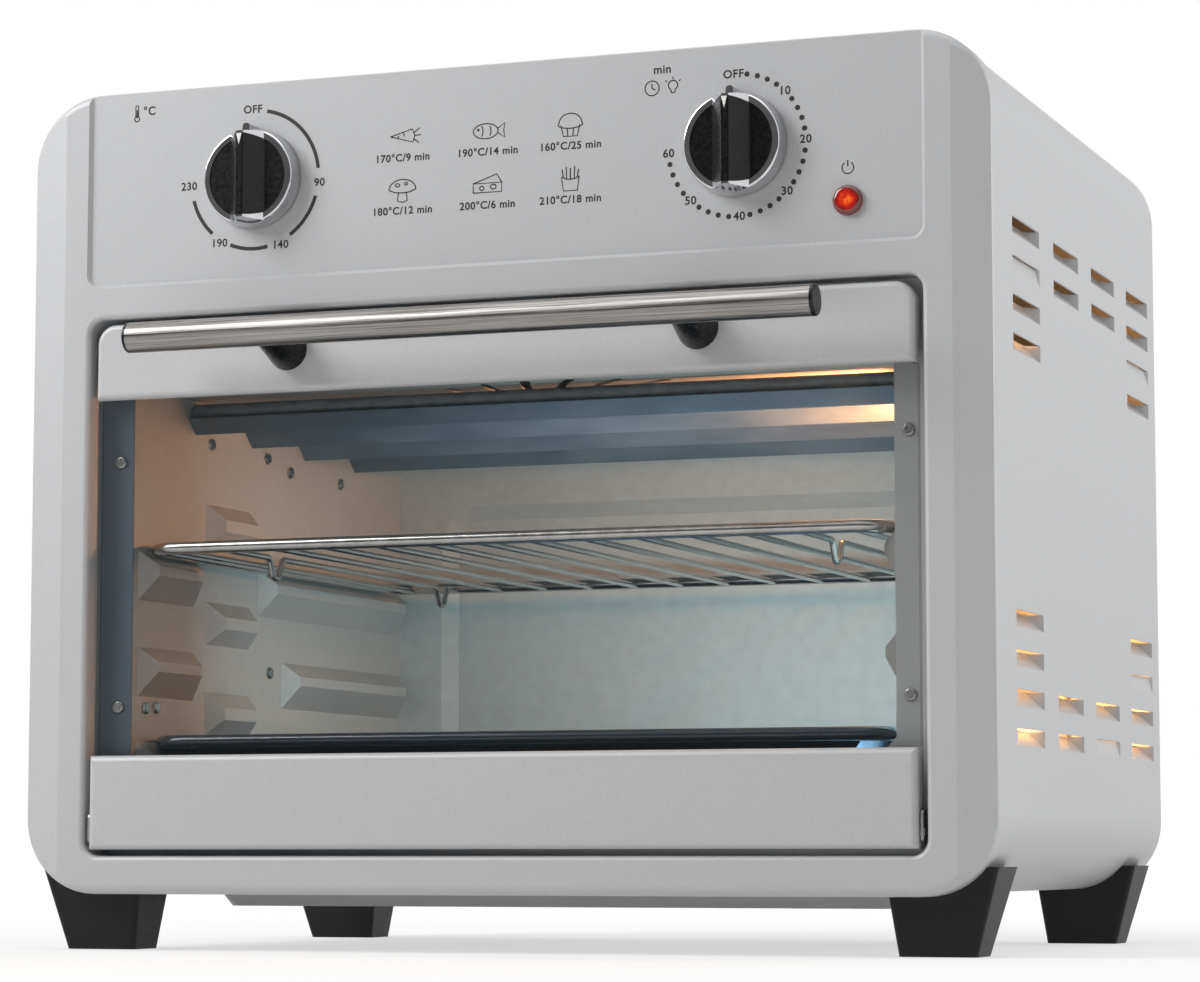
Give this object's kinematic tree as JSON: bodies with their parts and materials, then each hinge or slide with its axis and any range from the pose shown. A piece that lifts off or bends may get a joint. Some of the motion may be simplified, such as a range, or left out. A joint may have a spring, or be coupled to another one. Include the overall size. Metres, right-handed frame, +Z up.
{
  "type": "air fryer oven",
  "caption": "Countertop air fryer oven with a fold-down glass door, bar handle, control dials, wire rack, baking tray and a fan above the cavity.",
  "frame": {"origin": "under the middle of the whole object, on the surface it stands on", "axes": "+X to the user's right, +Y from the door to the back, +Z up"},
  "size_m": [0.4, 0.3346, 0.3445],
  "materials": {
    "silver_paint": "satin silver-grey paint",
    "black_foot_plastic": "moulded, fine matt",
    "black_plastic": "moulded, satin",
    "brushed_handle": "brushed along its length",
    "knob_chrome": "bright plated",
    "rack_chrome": "bright plated wire",
    "cavity_steel": "aluminised sheet",
    "inner_steel": "plain galvanised sheet",
    "screw_steel": "zinc plated",
    "heater_sheath": "dark oxidised sheath",
    "heater_ceramic": "unglazed ceramic",
    "fan_aluminium": "pressed sheet",
    "motor_iron": "laminated core and coil",
    "control_plastic": "moulded control bodies",
    "lamp_lens": "translucent red lens",
    "door_glass": "clear toughened glass",
    "lamp_glass": "clear lamp glass",
    "tray_enamel": "dark glossy enamel"
  },
  "bodies": {
    "oven": {"front_frame": "silver_paint", "cabinet_top": "silver_paint", "cabinet_left_side": "silver_paint", "cabinet_right_side": "silver_paint", "cabinet_bottom_strips": "silver_paint", "base_plate": "silver_paint", "back_cover": "silver_paint", "foot_front_right": "black_foot_plastic", "foot_front_left": "black_foot_plastic", "foot_rear_right": "black_foot_plastic", "foot_rear_left": "black_foot_plastic", "cord_gland": "black_plastic", "cavity_left_wall": "cavity_steel", "cavity_right_wall": "cavity_steel", "cavity_ceiling": "cavity_steel", "cavity_floor": "cavity_steel", "cavity_back_wall": "cavity_steel", "cavity_flange": "cavity_steel", "fan_shroud": "inner_steel", "motor_bracket": "inner_steel", "oven_lamp_holder": "inner_steel", "hinge_brackets": "inner_steel", "heater_guard_1": "inner_steel", "heater_guard_2": "inner_steel", "heater_guard_3": "inner_steel", "heater_guard_4": "inner_steel", "foot_screws": "screw_steel", "cover_screws": "screw_steel", "cavity_rivets": "screw_steel", "upper_heaters": "heater_sheath", "lower_heaters": "heater_sheath", "heater_insulators": "heater_ceramic", "fan_motor": "motor_iron", "thermostat_body": "control_plastic", "timer_body": "control_plastic", "power_lamp_body": "control_plastic", "terminal_block": "control_plastic", "power_lamp_lens": "lamp_lens", "oven_lamp_cover": "lamp_glass", "oven_lamp_bulb": "lamp_glass"},
    "door": {"door_bottom_rail": "silver_paint", "door_top_rail": "silver_paint", "door_glass": "door_glass", "handle_bar": "brushed_handle", "handle_end_caps": "black_plastic", "handle_post_left": "black_plastic", "handle_post_right": "black_plastic", "handle_screws": "screw_steel", "hinge_pins": "screw_steel"},
    "temperature_knob": {"temperature_knob_grip": "black_plastic", "temperature_knob_skirt": "knob_chrome", "temperature_shaft": "screw_steel"},
    "timer_knob": {"timer_knob_grip": "black_plastic", "timer_knob_skirt": "knob_chrome", "timer_shaft": "screw_steel"},
    "fan": {"fan_impeller": "fan_aluminium"},
    "rack": {"wire_rack": "rack_chrome"},
    "tray": {"baking_tray": "tray_enamel"}
  },
  "joints": [
    {"name": "door_hinge", "type": "hinge", "parent": "oven", "child": "door", "pos_m": [0, -0.12965, 0.0456], "axis": [1, 0, 0], "range_deg": [0, 90], "stiffness_Nm_per_rad": 0.1, "springref_deg": -57.3},
    {"name": "temperature_turn", "type": "hinge", "parent": "oven", "child": "temperature_knob", "pos_m": [-0.101, -0.13365, 0.305], "axis": [0, 1, 0], "range_deg": [0, 266]},
    {"name": "timer_turn", "type": "hinge", "parent": "oven", "child": "timer_knob", "pos_m": [0.101, -0.13365, 0.305], "axis": [0, 1, 0], "range_deg": [0, 267]},
    {"name": "fan_spin", "type": "hinge", "parent": "oven", "child": "fan", "pos_m": [0, 0.01275, 0.24], "axis": [0, 0, 1], "continuous": true},
    {"name": "rack_slide", "type": "slide", "parent": "oven", "child": "rack", "axis": [0, -1, 0], "range_m": [0, 0.19]},
    {"name": "tray_slide", "type": "slide", "parent": "oven", "child": "tray", "axis": [0, -1, 0], "range_m": [0, 0.08]}
  ],
  "couplings": [
    {"joint": "rack_slide", "follows": "door_hinge", "m_per_rad": 0.12},
    {"joint": "tray_slide", "follows": "door_hinge", "m_per_rad": 0.05}
  ]
}
